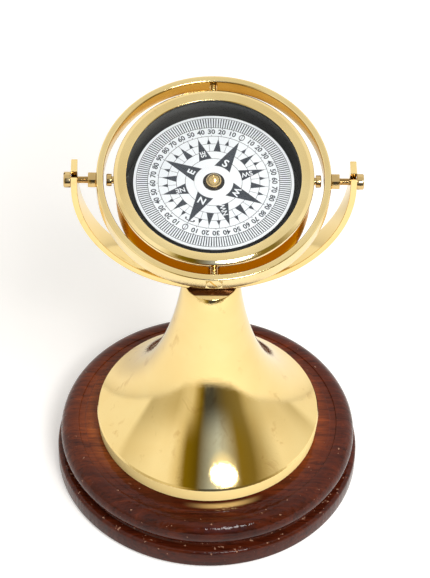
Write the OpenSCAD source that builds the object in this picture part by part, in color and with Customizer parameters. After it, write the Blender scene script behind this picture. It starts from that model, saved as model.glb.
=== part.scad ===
// Gimbal compass on a turned wooden base: a spun pedestal carries a strap yoke,
// the gimbal ring hangs in the yoke, and the compass bowl hangs in the ring.
// Millimetres, +Z up, origin on the table under the middle of the base.

/* [Base] */
// Diameter of the wooden base at its foot ledge
base_d = 152.4; // [148:0.2:170]
// Height of the pedestal's seat above the table
base_h = 26.3; // [24:0.1:32]
// Height of the foot ledge above the table
ledge_h = 11.2; // [9:0.1:12]
// Radius of the half-round bead
bead_r = 7.2; // [6.4:0.1:7.6]
// Distance of the bead's centre circle inside the base's edge
bead_inset = 8.9; // [8.4:0.1:11]
// Height of the bead above the seat
bead_rise = 0.5; // [0.2:0.1:1.2]
// Width of the sunk quirk inside the bead
quirk_w = 3.1; // [2:0.1:5]
// Depth of the quirk below the seat
quirk_depth = 0.4; // [0.2:0.1:1]
// Thickness of the felt pad
felt_t = 1.3; // [1:0.1:3]
// Depth of the recess that holds the felt
felt_sink = 0.5; // [0.3:0.1:0.9]
// Width of bare wood round the felt
felt_margin = 7.2; // [5:0.2:15]

/* [Pedestal] */
// Diameter over the foot band
foot_d = 112.2; // [100:0.2:116]
// Height of the foot band up to its crease
foot_h = 9.3; // [6:0.1:14]
// How far the foot band leans out between its rim and its top
foot_lean = 0.9; // [0:0.1:2]
// Height of the whole pedestal
pedestal_h = 97.1; // [90:0.1:130]
// Diameter of the neck under its shoulder
neck_d = 29.4; // [26:0.2:36]
// How far the neck draws in at its top
neck_draw = 1.3; // [0.5:0.1:1.8]
// Height over which it draws in
neck_draw_h = 3; // [2:0.1:5]
// Radius of the top's rounded edge
shoulder_r = 0.8; // [0.4:0.1:1.2]
// Thickness of the spun sheet
sheet_t = 1.4; // [1:0.1:2]
// Angle of the flare above the horizontal at the foot
flare_angle = 38; // [30:1:50]
// How far the crease lies inside the foot band
crease_in = 0.7; // [0.4:0.1:1.5]
// Radius of the band's rounded upper edge
crease_round = 1.1; // [0.6:0.1:1.6]
// Length over which the foot's direction bends the flare
flare_pull = 33; // [24:0.5:36]
// Lean of the neck from the vertical
neck_lean = 8; // [4:0.5:12]
// Length over which the neck's direction bends the flare
neck_pull = 38; // [28:0.5:44]
// Diameter of the plate soldered inside the neck
neck_plate_d = 22; // [16:0.5:23]
// Thickness of that plate
neck_plate_t = 5; // [3:0.5:10]

/* [Tie bolt] */
// Diameter of the tie bolt
tie_d = 6; // [5:0.5:7]
// Diameter of its head inside the yoke
tie_head_d = 11; // [9:0.5:12]
// Height of its head
tie_head_h = 3.5; // [2:0.1:5]
// Width across the flats of its nut
tie_nut_af = 10; // [9:0.5:12]
// Height of its nut
tie_nut_h = 5; // [4:0.5:6]
// Diameter of the washer
washer_d = 20; // [16:0.5:24]
// Thickness of the washer
washer_t = 1.6; // [1:0.1:2.5]
// Diameter of the collar under the yoke
collar_d = 19; // [11:0.5:20]
// Height of the collar
collar_h = 3; // [2:0.1:6]

/* [Yoke] */
// Free space between the lock nuts and the yoke
arm_gap = 4.7; // [2:0.1:10]
// Thickness of the strap
yoke_t = 3; // [2.4:0.1:3.4]
// Width of the strap
yoke_w = 12; // [10:0.5:16]
// Height of the arms above the pivots
arm_rise = 7.5; // [6:0.1:12]
// Angle of the lift-out slots above the horizontal
slot_angle = 60; // [50:1:80]
// Radius of the arms' rear top corners
arm_corner_r = 1; // [0.5:0.1:2]

/* [Gimbal ring] */
// Free space between the side screws and the ring
swing_gap = 1.4; // [1:0.1:6]
// Wall of the ring
ring_t = 3.4; // [2.6:0.1:3.6]
// Height of the ring
ring_h = 8.8; // [7.6:0.1:10]
// Radius of the ring's rounded rims
ring_rim_r = 0.8; // [0.4:0.1:1.1]
// Lean of ring and bowl towards the front at rest
ring_tilt = 17; // [0:1:25]

/* [Pivots] */
// Diameter of the pivot bolts
pivot_d = 3.3; // [2.8:0.1:4]
// Diameter of their round heads
pivot_head_d = 7.5; // [6:0.1:9]
// Height of their heads
pivot_head_h = 3.4; // [2:0.1:4]
// Side play between a head and the yoke
pivot_play = 0.2; // [0.1:0.05:0.4]
// Width of the lock nuts across the flats
lock_af = 7; // [6:0.1:8]
// Height of the lock nuts
lock_h = 4; // [3:0.1:5]
// Diameter of the bearing screws' plain ends
bearing_d = 3.3; // [2.6:0.1:3.4]
// Diameter of the bearing screws' countersunk heads
bearing_head_d = 7.2; // [6:0.1:7.4]
// Width of the screwdriver slots
driver_w = 0.9; // [0.6:0.1:1.2]

/* [Bowl] */
// Width between the window's edge and the casing's outside
rim_w = 4.9; // [4.6:0.1:6]
// Depth of the casing below the pivots
bowl_depth = 33.5; // [28:0.5:35]
// Wall of the casing
bowl_t = 1.2; // [0.8:0.1:1.4]
// Height of the casing's upper edge above the pivots
bowl_rim_z = 2.6; // [2.6:0.1:2.8]
// How far in the casing's rounded corner reaches
corner_w = 22; // [16:1:26]
// Width of the casing's edge that turns in
bowl_lip_w = 3.9; // [3.4:0.1:4]
// Radius step of the bezel outside the casing
bezel_over = 1.1; // [0.8:0.1:1.4]
// Gap between the card's edge and the window's edge
card_gap = 3.5; // [1:0.1:6]
// Height of the bezel's crown above the pivots
crown_z = 5.4; // [5.2:0.1:6.4]
// Thickness of the glass
glass_t = 1.4; // [1:0.1:1.5]
// Thickness of the gasket under the glass
gasket_t = 0.6; // [0.4:0.1:0.8]
// Wall of the black inner cup
liner_t = 0.9; // [0.6:0.1:1.2]
// Depth of the inner cup's floor below the pivots
liner_depth = 15; // [10:0.5:18]
// Diameter of the ballast weight
ballast_d = 52; // [40:1:56]
// Chamfer round the weight's foot
ballast_chamfer = 4; // [2:0.5:6]
// Diameter of the side screws' heads
side_head_d = 5.9; // [5:0.1:6.4]
// Height of the side screws' heads
side_head_h = 2.5; // [2:0.1:2.8]
// Diameter of the side screws' necks
side_neck_d = 3.5; // [2.6:0.1:3.8]
// Length of the side screws' necks outside the casing
side_neck_l = 1.9; // [1.6:0.1:2]
// Diameter of the bearing bushes
bush_d = 5; // [4.4:0.1:5]
// Length of the bearing bushes
bush_l = 2.5; // [2:0.1:3]

/* [Card] */
// Diameter of the card
card_d = 75.2; // [70:0.1:78]
// Thickness of the card
card_t = 0.5; // [0.3:0.1:0.8]
// Height of the needle's point above the pivots
needle_z = -0.2; // [-0.6:0.1:1]
// Depth of the card's face below the needle's point
card_drop = 1.2; // [1:0.1:1.6]
// Angle by which the card lags behind the bowl's lean
card_lag = 4.5; // [0:0.5:5]
// Direction of the card's north from the right-hand side
card_heading = 242; // [0:1:359]
// Diameter of the dark hub ring
hub_d = 10.2; // [9:0.1:14]
// Thickness of the hub ring
hub_t = 0.35; // [0.2:0.05:0.5]
// Diameter of the cap
cap_d = 7.5; // [6:0.1:8.5]
// Height of the cap
cap_h = 3.9; // [2.4:0.1:4]
// Diameter of the jewel
jewel_d = 3.2; // [2.6:0.1:3.6]
// Height of the jewel
jewel_h = 1.3; // [1.1:0.1:1.5]
// Diameter of the needle
needle_d = 1.2; // [0.8:0.1:1.4]
// Length of the needle above its post
needle_l = 6; // [5:0.1:8]
// Diameter of the post
post_d = 5; // [4:0.1:6]
// Length of the magnets
magnet_l = 44; // [30:1:50]
// Width of the magnets
magnet_w = 3; // [2:0.1:4]
// Height of the magnets
magnet_h = 2.2; // [1.5:0.1:2.5]
// Distance of each magnet's middle from the card's middle
magnet_out = 8; // [6.5:0.1:12]

/* [Fits] */
// Radial gap of a shaft that turns in its hole
run_gap = 0.05; // [0.02:0.01:0.1]
// Radial gap of a bolt or piece that is put in its hole
bolt_gap = 0.15; // [0.1:0.01:0.3]

/* [Hidden] */

$fn = 96;
cut = 1; // how far a cutting body runs past the face that it cuts

brass = [0.85, 0.68, 0.36];
satin_brass = [0.78, 0.66, 0.42];
rosewood = [0.33, 0.1, 0.05];
black = [0.06, 0.06, 0.07];
steel = [0.62, 0.63, 0.66];

// radii from the card outwards
window_r = card_d / 2 + card_gap;
bowl_r = window_r + rim_w;
ring_ri = bowl_r + side_neck_l + side_head_h + swing_gap;
ring_ro = ring_ri + ring_t;

// base
base_r = base_d / 2;
wood_z = felt_t - felt_sink;
foot_round = 1.2;
ledge_round = 2;
bead_x = base_r - bead_inset;
bead_z = base_h + bead_rise - bead_r;
bead_from = -60;
bead_to = 104;
bead_in_x = bead_x + bead_r * cos(bead_to);
groove_x = bead_x + bead_r * cos(bead_from);
groove_top_z = bead_z + bead_r * sin(bead_from);
groove_depth = 0.3;
felt_r = base_r - felt_margin;

// pedestal
foot_r = foot_d / 2;
crease_r = foot_r - crease_in;
crease_z = base_h + foot_h;
pedestal_z = base_h + pedestal_h;
neck_r = neck_d / 2;
neck_z = pedestal_z - neck_draw_h;
neck_top_r = neck_r - neck_draw;

// tie bolt and collar
tie_r = tie_d / 2;
tie_hole_r = tie_r + bolt_gap;
collar_r = collar_d / 2;
collar_z = pedestal_z + collar_h;
nut_round = 1.02; // share of the hexagon that its rounded corners are turned to
counterbore_r = washer_d / 2 + 1;
counterbore_z = wood_z + felt_sink + 9 + washer_t - 1.6;
tie_tail = 1.1;

// yoke
yoke_ri = ring_ro + lock_h + arm_gap;
yoke_ro = yoke_ri + yoke_t;
pivot_z = collar_z + sqrt(yoke_ro * yoke_ro - collar_r * collar_r);
spot_depth = 0.1;
yoke_in_z = pivot_z - yoke_ri - spot_depth;
slot_r = pivot_d / 2 + run_gap;

// gimbal ring
lock_corner_r = lock_af / 2 / cos(30);
lock_flat_r = lock_corner_r + bolt_gap;
lock_x = sqrt(ring_ro * ring_ro - lock_flat_r * lock_flat_r);
pivot_r = pivot_d / 2;
pivot_head_x = yoke_ro + pivot_play;
bearing_r = bearing_d / 2;
bearing_land = 0.2;
driver_depth = 0.8;

// bowl
lip_r = bowl_r - bowl_lip_w;
lip_t = 1;
bearing_end = bowl_r - 1.8;
bezel_r = bowl_r + bezel_over;
gasket_z = bowl_rim_z + gasket_t;
glass_z = gasket_z + glass_t;
glass_r = bowl_r - 2.8;
skirt_z = 2.2;
bezel_edge_z = 4.4;
crest_share = 0.52; // share of the bezel's width, from the window, where its crest lies
liner_r = lip_r - 0.1;
ballast_z = -liner_depth - liner_t;
post_z = needle_z - needle_l;

// card, in its own frame with the needle's point as origin
hub_z = -card_drop + hub_t;
card_hole_r = jewel_d / 2 + run_gap;
jewel_low = hub_z + 0.5;

// Points of an arc round (x, y) from angle a to angle b
function arc(x, y, r, a, b, n) =
    [for (i = [0:n]) let (t = a + (b - a) * i / n) [x + r * cos(t), y + r * sin(t)]];

// Points of the curve with ends p, s and control points q, r
function curve(p, q, r, s, n) =
    [for (i = [0:n]) let (t = i / n, u = 1 - t)
        u * u * u * p + 3 * u * u * t * q + 3 * u * t * t * r + t * t * t * s];

function unit(v) = v / norm(v);
function left(v) = [-v[1], v[0]];
function reverse(list) = [for (i = [len(list) - 1:-1:0]) list[i]];

// The line of points moved sideways by t, for the other face of a sheet
function beside(p, t) =
    [for (i = [0:len(p) - 1])
        let (a = unit(p[min(i + 1, len(p) - 1)] - p[max(i - 1, 0)])) p[i] + t * left(a)];

// Frame of the gimbal ring and the bowl, with the pivots' crossing as origin
module hung() {
    translate([0, 0, pivot_z]) rotate([ring_tilt, 0, 0]) children();
}

// Frame of the card, with the needle's point as origin
module floated() {
    hung() translate([0, 0, needle_z]) rotate([-card_lag, 0, 0]) children();
}

// Turns a child that points up so that it points left and right
module both_sides() {
    for (side = [-1, 1]) rotate([0, 90 * side, 0]) children();
}

// Turns a child that points up so that it points to the front and the rear
module front_and_rear() {
    for (side = [-1, 1]) rotate([90 * side, 0, 0]) children();
}

// Screwdriver slot across a head whose top is at height z
module driver_slot(z, head_r, angle) {
    rotate([0, 0, angle])
        translate([-head_r - cut, -driver_w / 2, z - driver_depth])
            cube([2 * (head_r + cut), driver_w, driver_depth + cut]);
}

module wood_base() {
    color(rosewood) difference() {
        rotate_extrude() polygon(concat(
            [[0, wood_z]],
            arc(base_r - foot_round, wood_z + foot_round, foot_round, -90, 0, 5),
            arc(base_r - ledge_round, ledge_h - ledge_round, ledge_round, 0, 90, 6),
            [[groove_x + groove_depth, ledge_h],
             [groove_x - groove_depth, (ledge_h + groove_top_z) / 2]],
            arc(bead_x, bead_z, bead_r, bead_from, bead_to, 24),
            [[bead_in_x, base_h - quirk_depth],
             [bead_in_x - quirk_w, base_h - quirk_depth],
             [bead_in_x - quirk_w - quirk_depth, base_h],
             [0, base_h]]));
        translate([0, 0, wood_z - cut]) cylinder(r = felt_r + bolt_gap, h = felt_sink + cut);
        translate([0, 0, wood_z - cut]) cylinder(r = counterbore_r, h = counterbore_z - wood_z + cut);
        translate([0, 0, wood_z]) cylinder(r = tie_hole_r, h = base_h);
    }
}

module felt_pad() {
    color([0.1, 0.2, 0.12]) cylinder(r = felt_r, h = felt_t);
}

// Outer line of the spun sheet from its rim up to the flat top
function pedestal_line() = concat(
    [[foot_r - foot_lean, base_h]],
    [[foot_r, crease_z - 2 * crease_round]],
    arc(foot_r - crease_round, crease_z - crease_round, crease_round, 10, 50, 3),
    curve([crease_r, crease_z],
          [crease_r, crease_z] + flare_pull * [-cos(flare_angle), sin(flare_angle)],
          [neck_r, neck_z] + neck_pull * [sin(neck_lean), -cos(neck_lean)],
          [neck_r, neck_z], 30),
    arc(neck_top_r - shoulder_r, pedestal_z - shoulder_r, shoulder_r, 20, 90, 4));

module pedestal() {
    line = pedestal_line();
    color(brass) difference() {
        rotate_extrude() polygon(concat([[0, base_h]], line, [[0, pedestal_z]]));
        rotate_extrude() polygon(concat(
            [[0, base_h - cut], [foot_r - foot_lean - sheet_t, base_h - cut]],
            [for (p = beside(line, sheet_t)) if (p[1] < pedestal_z - sheet_t) p],
            [[neck_top_r - sheet_t, pedestal_z - sheet_t], [0, pedestal_z - sheet_t]]));
        translate([0, 0, pedestal_z - neck_plate_t]) cylinder(r = tie_hole_r, h = neck_plate_t + cut);
    }
}

module neck_plate() {
    color(brass) translate([0, 0, pedestal_z - sheet_t - neck_plate_t]) difference() {
        cylinder(r = neck_plate_d / 2, h = neck_plate_t);
        translate([0, 0, -cut]) cylinder(r = tie_hole_r, h = neck_plate_t + 2 * cut);
    }
}

module yoke_collar() {
    color(brass) translate([0, 0, pedestal_z]) difference() {
        cylinder(r = collar_r, h = collar_h);
        translate([0, 0, -cut]) cylinder(r = tie_hole_r, h = collar_h + 2 * cut);
    }
}

module yoke() {
    color(brass) difference() {
        intersection() {
            translate([0, 0, pivot_z]) rotate([90, 0, 0])
                linear_extrude(yoke_w, center = true) difference() {
                    union() {
                        circle(yoke_ro);
                        translate([-yoke_ro, 0]) square([2 * yoke_ro, arm_rise]);
                    }
                    circle(yoke_ri);
                    translate([-yoke_ri, 0]) square([2 * yoke_ri, yoke_ro + cut]);
                }
            // side outline: flat ground on the collar, rear top corners rounded
            translate([-yoke_ro - cut, 0, 0]) rotate([90, 0, 90])
                linear_extrude(2 * (yoke_ro + cut)) polygon(concat(
                    [[-yoke_w / 2, collar_z], [yoke_w / 2, collar_z]],
                    arc(yoke_w / 2 - arm_corner_r, pivot_z + arm_rise - arm_corner_r,
                        arm_corner_r, 0, 90, 5),
                    [[-yoke_w / 2, pivot_z + arm_rise]]));
        }
        // slanting slots with a half-round seat for the pivot bolts
        translate([0, 0, pivot_z]) rotate([90 - slot_angle, 0, 0]) {
            translate([-yoke_ro - cut, -slot_r, 0])
                cube([2 * (yoke_ro + cut), 2 * slot_r, yoke_w + arm_rise]);
            rotate([0, 90, 0]) cylinder(r = slot_r, h = 2 * (yoke_ro + cut), center = true);
        }
        translate([0, 0, collar_z - cut]) cylinder(r = tie_hole_r, h = yoke_t + 2 * cut);
        // flat seat for the tie bolt's head
        translate([0, 0, yoke_in_z]) cylinder(r = tie_head_d / 2 + bolt_gap, h = yoke_t);
    }
}

module tie_bolt() {
    tail_z = counterbore_z - washer_t - tie_nut_h - tie_tail;
    color(brass) difference() {
        rotate_extrude() polygon([
            [0, tail_z], [tie_r - 0.5, tail_z], [tie_r, tail_z + 0.5],
            [tie_r, yoke_in_z], [tie_head_d / 2, yoke_in_z],
            [tie_head_d / 2, yoke_in_z + tie_head_h - 0.8],
            [tie_head_d / 2 - 0.8, yoke_in_z + tie_head_h],
            [0, yoke_in_z + tie_head_h]]);
        driver_slot(yoke_in_z + tie_head_h, tie_head_d / 2, 0);
    }
}

module base_washer() {
    color(steel) translate([0, 0, counterbore_z - washer_t]) difference() {
        cylinder(r = washer_d / 2, h = washer_t);
        translate([0, 0, -cut]) cylinder(r = tie_hole_r, h = washer_t + 2 * cut);
    }
}

module base_nut() {
    color(steel) translate([0, 0, counterbore_z - washer_t - tie_nut_h]) difference() {
        cylinder(r = tie_nut_af / 2 / cos(30), h = tie_nut_h, $fn = 6);
        translate([0, 0, -cut]) cylinder(r = tie_r + run_gap, h = tie_nut_h + 2 * cut);
    }
}

// Outline of a countersunk bearing screw, or of its hole when gap is above zero
module bearing_outline(gap, from, past) {
    head_r = bearing_head_d / 2 + gap;
    sink = bearing_head_d / 2 - bearing_r;
    polygon([[0, from], [bearing_r + gap, from], [bearing_r + gap, ring_ro - bearing_land - sink],
             [head_r, ring_ro - bearing_land], [head_r, ring_ro + past], [0, ring_ro + past]]);
}

module gimbal_ring() {
    color(satin_brass) hung() difference() {
        rotate_extrude() polygon(concat(
            arc(ring_ro - ring_rim_r, -ring_h / 2 + ring_rim_r, ring_rim_r, -90, 0, 4),
            arc(ring_ro - ring_rim_r, ring_h / 2 - ring_rim_r, ring_rim_r, 0, 90, 4),
            arc(ring_ri + ring_rim_r, ring_h / 2 - ring_rim_r, ring_rim_r, 90, 180, 4),
            arc(ring_ri + ring_rim_r, -ring_h / 2 + ring_rim_r, ring_rim_r, 180, 270, 4)));
        both_sides() {
            translate([0, 0, ring_ri - ring_t]) cylinder(r = pivot_r + run_gap, h = 3 * ring_t);
            // flat spots for the lock nuts
            translate([0, 0, lock_x]) cylinder(r = lock_flat_r, h = ring_t);
        }
        front_and_rear() rotate_extrude() bearing_outline(run_gap, ring_ri - ring_t, cut);
    }
}

module pivot_bolts() {
    head_top = pivot_head_x + pivot_head_h;
    head_r = pivot_head_d / 2;
    color(brass) hung() both_sides() difference() {
        rotate_extrude() polygon([
            [0, ring_ri], [pivot_r, ring_ri], [pivot_r, pivot_head_x], [head_r, pivot_head_x],
            [head_r, head_top - 0.6], [head_r - 0.2, head_top - 0.2], [head_r - 0.6, head_top],
            [0, head_top]]);
        driver_slot(head_top, head_r, 20);
    }
}

module lock_nuts() {
    color(brass) hung() both_sides() translate([0, 0, lock_x]) difference() {
        rotate([0, 0, 30]) cylinder(r = lock_corner_r, h = lock_h, $fn = 6);
        translate([0, 0, -cut]) cylinder(r = pivot_r + run_gap, h = lock_h + 2 * cut);
    }
}

module bearing_screws() {
    color(satin_brass) hung() front_and_rear() difference() {
        rotate_extrude() bearing_outline(0, bearing_end, 0);
        driver_slot(ring_ro, bearing_head_d / 2, 35);
    }
}

// Outer line of the casing from its wall round to the flat bottom
function case_line() = concat(
    [[bowl_r, skirt_z]],
    curve([bowl_r, -bowl_depth * 0.42], [bowl_r, -bowl_depth * 0.8],
          [bowl_r - 0.36 * corner_w, -bowl_depth + 0.5], [bowl_r - corner_w, -bowl_depth], 14));

module bowl_case() {
    line = case_line();
    color(brass) hung() difference() {
        rotate_extrude() polygon(concat(
            [[0, bowl_rim_z], [0, -bowl_depth]], reverse(line), [[bowl_r, bowl_rim_z]]));
        rotate_extrude() polygon(concat(
            [[0, bowl_rim_z - lip_t], [0, -bowl_depth + bowl_t]],
            [for (p = reverse(beside(line, -bowl_t))) if (p[1] < bowl_rim_z - lip_t) p],
            [[bowl_r - bowl_t, bowl_rim_z - lip_t]]));
        cylinder(r = lip_r, h = bowl_rim_z + cut);
        both_sides() translate([0, 0, bowl_r - bowl_t - cut])
            cylinder(r = side_neck_d / 2 + run_gap, h = bowl_t + 2 * cut);
        front_and_rear() translate([0, 0, lip_r])
            cylinder(r = bush_d / 2 + run_gap, h = bowl_lip_w + cut);
    }
}

module bezel() {
    crown_w = bezel_r - window_r;
    color(satin_brass) hung() rotate_extrude() polygon([
        [bowl_r + run_gap, skirt_z], [bezel_r, skirt_z], [bezel_r, bezel_edge_z],
        [bezel_r - 0.35, bezel_edge_z + 0.35],
        [window_r + crest_share * crown_w, crown_z],
        [window_r + 0.25, crown_z - 0.35], [window_r, crown_z - 0.6],
        [window_r, glass_z + run_gap], [glass_r + run_gap, glass_z + run_gap],
        [glass_r + run_gap, bowl_rim_z + run_gap], [bowl_r + run_gap, bowl_rim_z + run_gap]]);
}

module cover_glass() {
    color([0.85, 0.92, 0.95, 0.3]) hung() translate([0, 0, gasket_z])
        cylinder(r = glass_r, h = glass_t);
}

module glass_gasket() {
    color(black) hung() translate([0, 0, bowl_rim_z]) difference() {
        cylinder(r = glass_r, h = gasket_t);
        translate([0, 0, -cut]) cylinder(r = window_r + bolt_gap, h = gasket_t + 2 * cut);
    }
}

module liner_cup() {
    color(black) hung() difference() {
        translate([0, 0, -liner_depth - liner_t])
            cylinder(r = liner_r, h = liner_depth + liner_t + bowl_rim_z);
        translate([0, 0, -liner_depth])
            cylinder(r = liner_r - liner_t, h = liner_depth + bowl_rim_z + cut);
        translate([0, 0, -liner_depth - liner_t - cut])
            cylinder(r = post_d / 2 + run_gap, h = liner_t + 2 * cut);
    }
}

module ballast_weight() {
    low = -bowl_depth + bowl_t;
    color([0.4, 0.4, 0.42]) hung() translate([0, 0, low]) difference() {
        rotate_extrude() polygon([
            [0, 0], [ballast_d / 2 - ballast_chamfer, 0], [ballast_d / 2, ballast_chamfer],
            [ballast_d / 2, ballast_z - low], [0, ballast_z - low]]);
        translate([0, 0, -cut])
            cylinder(r = post_d / 2 + run_gap, h = ballast_z - low + 2 * cut);
    }
}

module pivot_post() {
    low = -bowl_depth + bowl_t;
    color(brass) hung() difference() {
        rotate_extrude() polygon([
            [0, low], [post_d / 2, low], [post_d / 2, post_z - 1], [post_d / 2 - 1, post_z],
            [0, post_z]]);
        translate([0, 0, post_z - needle_l / 2]) cylinder(r = needle_d / 2 + run_gap, h = needle_l);
    }
}

module pivot_needle() {
    color(steel) hung() rotate_extrude() polygon([
        [0, post_z - needle_l / 2], [needle_d / 2, post_z - needle_l / 2],
        [needle_d / 2, needle_z - 3 * needle_d], [0.05, needle_z], [0, needle_z]]);
}

module bearing_bushes() {
    bush_out = bowl_r - run_gap;
    color(brass) hung() front_and_rear() translate([0, 0, bush_out - bush_l]) difference() {
        cylinder(r = bush_d / 2, h = bush_l);
        translate([0, 0, -cut]) cylinder(r = bearing_r + run_gap, h = bush_l + 2 * cut);
    }
}

module side_screws() {
    head_low = bowl_r + side_neck_l;
    head_top = head_low + side_head_h;
    head_r = side_head_d / 2;
    color(brass) hung() both_sides() difference() {
        rotate_extrude() polygon([
            [0, bowl_r - bowl_t - 1], [side_neck_d / 2, bowl_r - bowl_t - 1],
            [side_neck_d / 2, head_low], [head_r, head_low], [head_r, head_top - 0.4],
            [head_r - 0.4, head_top], [0, head_top]]);
        driver_slot(head_top, head_r, 60);
    }
}

module compass_card() {
    color([0.9, 0.91, 0.92]) floated() translate([0, 0, -card_drop - card_t]) difference() {
        cylinder(r = card_d / 2, h = card_t);
        translate([0, 0, -cut]) cylinder(r = card_hole_r, h = card_t + 2 * cut);
    }
}

module card_hub() {
    color(black) floated() translate([0, 0, -card_drop]) difference() {
        cylinder(r = hub_d / 2, h = hub_t);
        translate([0, 0, -cut]) cylinder(r = card_hole_r, h = hub_t + 2 * cut);
    }
}

module card_cap() {
    cap_r = cap_d / 2;
    dome_r = (cap_r * cap_r + cap_h * cap_h) / (2 * cap_h);
    color(brass) floated() difference() {
        intersection() {
            translate([0, 0, hub_z + cap_h - dome_r]) sphere(dome_r);
            translate([0, 0, hub_z]) cylinder(r = cap_r, h = cap_h + cut);
        }
        translate([0, 0, hub_z - cut]) cylinder(r = card_hole_r, h = cut + 0.5 + jewel_h);
    }
}

module jewel_cup() {
    color([0.75, 0.2, 0.3]) floated() rotate_extrude() polygon([
        [0, 0.15], [0.9, jewel_low], [jewel_d / 2, jewel_low],
        [jewel_d / 2, jewel_low + jewel_h], [0, jewel_low + jewel_h]]);
}

module magnets() {
    color(steel) floated() rotate([0, 0, card_heading]) for (side = [-1, 1])
        translate([0, side * magnet_out, -card_drop - card_t - magnet_h / 2])
            cube([magnet_l, magnet_w, magnet_h], center = true);
}

wood_base();
felt_pad();
pedestal();
neck_plate();
yoke_collar();
yoke();
tie_bolt();
base_washer();
base_nut();
gimbal_ring();
pivot_bolts();
lock_nuts();
bearing_screws();
bowl_case();
bezel();
cover_glass();
glass_gasket();
liner_cup();
ballast_weight();
pivot_post();
pivot_needle();
bearing_bushes();
side_screws();
compass_card();
card_hub();
card_cap();
jewel_cup();
magnets();
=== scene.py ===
import math

import bmesh
import bpy
from mathutils import Matrix, Vector
from mathutils.geometry import interpolate_bezier


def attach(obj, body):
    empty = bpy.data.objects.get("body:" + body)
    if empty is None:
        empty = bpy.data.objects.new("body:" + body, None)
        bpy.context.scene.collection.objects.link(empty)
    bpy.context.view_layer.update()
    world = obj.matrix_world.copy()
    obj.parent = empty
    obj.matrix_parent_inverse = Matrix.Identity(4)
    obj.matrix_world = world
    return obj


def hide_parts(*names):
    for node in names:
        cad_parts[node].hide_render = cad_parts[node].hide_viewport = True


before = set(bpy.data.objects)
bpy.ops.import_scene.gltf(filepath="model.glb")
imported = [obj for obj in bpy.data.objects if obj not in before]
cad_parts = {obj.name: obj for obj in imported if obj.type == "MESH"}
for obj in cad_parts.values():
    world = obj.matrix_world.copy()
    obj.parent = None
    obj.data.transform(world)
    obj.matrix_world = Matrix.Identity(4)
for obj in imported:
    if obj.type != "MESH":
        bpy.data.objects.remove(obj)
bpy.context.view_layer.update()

MM = 0.001
scene = bpy.context.scene

# Wooden base. One piece of dark rosewood, turned on a lathe: a square-edged foot
# ledge, a groove, a fat half-round bead, a sunk quirk and a flat seat. It is
# stained and varnished, and the varnish is chipped to pale specks along the edges.


def turned(outline, steps=192):
    """Lathe work: an outline of (radius, height, corner) in mm, spun round the Z axis."""
    bm = bmesh.new()
    rim = [bm.verts.new((r * MM, 0, z * MM)) for r, z, _ in outline]
    bm.faces.new(rim)
    for vert, (_, _, corner) in zip(rim, outline):
        if corner:
            bmesh.ops.bevel(bm, geom=[vert], offset=corner * MM, offset_type="OFFSET", segments=5,
                            profile=0.5, affect="VERTICES", material=-1)
    bmesh.ops.delete(bm, geom=list(bm.faces), context="FACES_ONLY")
    axis_edges = [e for e in bm.edges if all(abs(v.co.x) < 1e-9 for v in e.verts)]
    bmesh.ops.delete(bm, geom=axis_edges, context="EDGES")
    bmesh.ops.spin(bm, geom=list(bm.verts) + list(bm.edges), cent=(0, 0, 0), axis=(0, 0, 1),
                   angle=2 * math.pi, steps=steps, use_merge=True)
    bmesh.ops.remove_doubles(bm, verts=bm.verts, dist=1e-7)
    bmesh.ops.recalc_face_normals(bm, faces=bm.faces)
    return bm


def assemble(bm, name, body, material, stands_for=(), corner=30, place=None):
    """Makes the finished mesh a piece of the compass and lets it ride on its body."""
    if place is not None:
        bmesh.ops.transform(bm, matrix=place, verts=bm.verts)
    mesh = bpy.data.meshes.new(name)
    bm.to_mesh(mesh)
    bm.free()
    for face in mesh.polygons:
        face.use_smooth = True
    mesh.set_sharp_from_angle(angle=math.radians(corner))
    piece = bpy.data.objects.new(name, mesh)
    scene.collection.objects.link(piece)
    mesh.materials.append(material)
    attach(piece, body)
    if stands_for:
        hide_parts(*stands_for)
    return piece


def finish(name, **sockets):
    """A new finish, with the values of its shader's own sockets."""
    material = bpy.data.materials.new(name)
    material.use_nodes = True
    tree = material.node_tree
    shader = tree.nodes["Principled BSDF"]
    for label, value in sockets.items():
        socket = shader.inputs[label.replace("_", " ")]
        socket.default_value = (*value, 1) if isinstance(value, tuple) else value
    return material, tree, shader


def wired(tree, kind, settings=None, **inputs):
    """A node with its settings. Inputs go by name, or by place as i0, i1 and so on, and each
    takes a number, a vector or another node's output."""
    made = tree.nodes.new("ShaderNode" + kind)
    for key, value in (settings or {}).items():
        setattr(made, key, value)
    for label, value in inputs.items():
        by_place = label[0] == "i" and label[1:].isdigit()
        socket = made.inputs[int(label[1:]) if by_place else label.replace("_", " ")]
        if isinstance(value, bpy.types.NodeSocket):
            tree.links.new(value, socket)
        else:
            socket.default_value = value
    return made


def fed(shader, **sources):
    """Joins outputs to the sockets of a shader."""
    for label, source in sources.items():
        shader.id_data.links.new(source, shader.inputs[label.replace("_", " ")])


def maths(tree, operation, *values):
    """One step of arithmetic on numbers."""
    by_place = {f"i{place}": value for place, value in enumerate(values)}
    return wired(tree, "Math", {"operation": operation}, **by_place).outputs[0]


def vectors(tree, operation, *values):
    """One step of arithmetic on vectors. A length or a dot product gives a number."""
    by_place = {f"i{place}": value for place, value in enumerate(values)}
    made = wired(tree, "VectorMath", {"operation": operation}, **by_place)
    return made.outputs["Value" if operation in ("LENGTH", "DOT_PRODUCT") else "Vector"]


def own_place(tree):
    """Where a point of the piece lies, in metres in the compass's frame."""
    return wired(tree, "TexCoord").outputs["Object"]


def split(tree, vector):
    """The X, Y and Z of a vector."""
    return wired(tree, "SeparateXYZ", i0=vector).outputs


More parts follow.
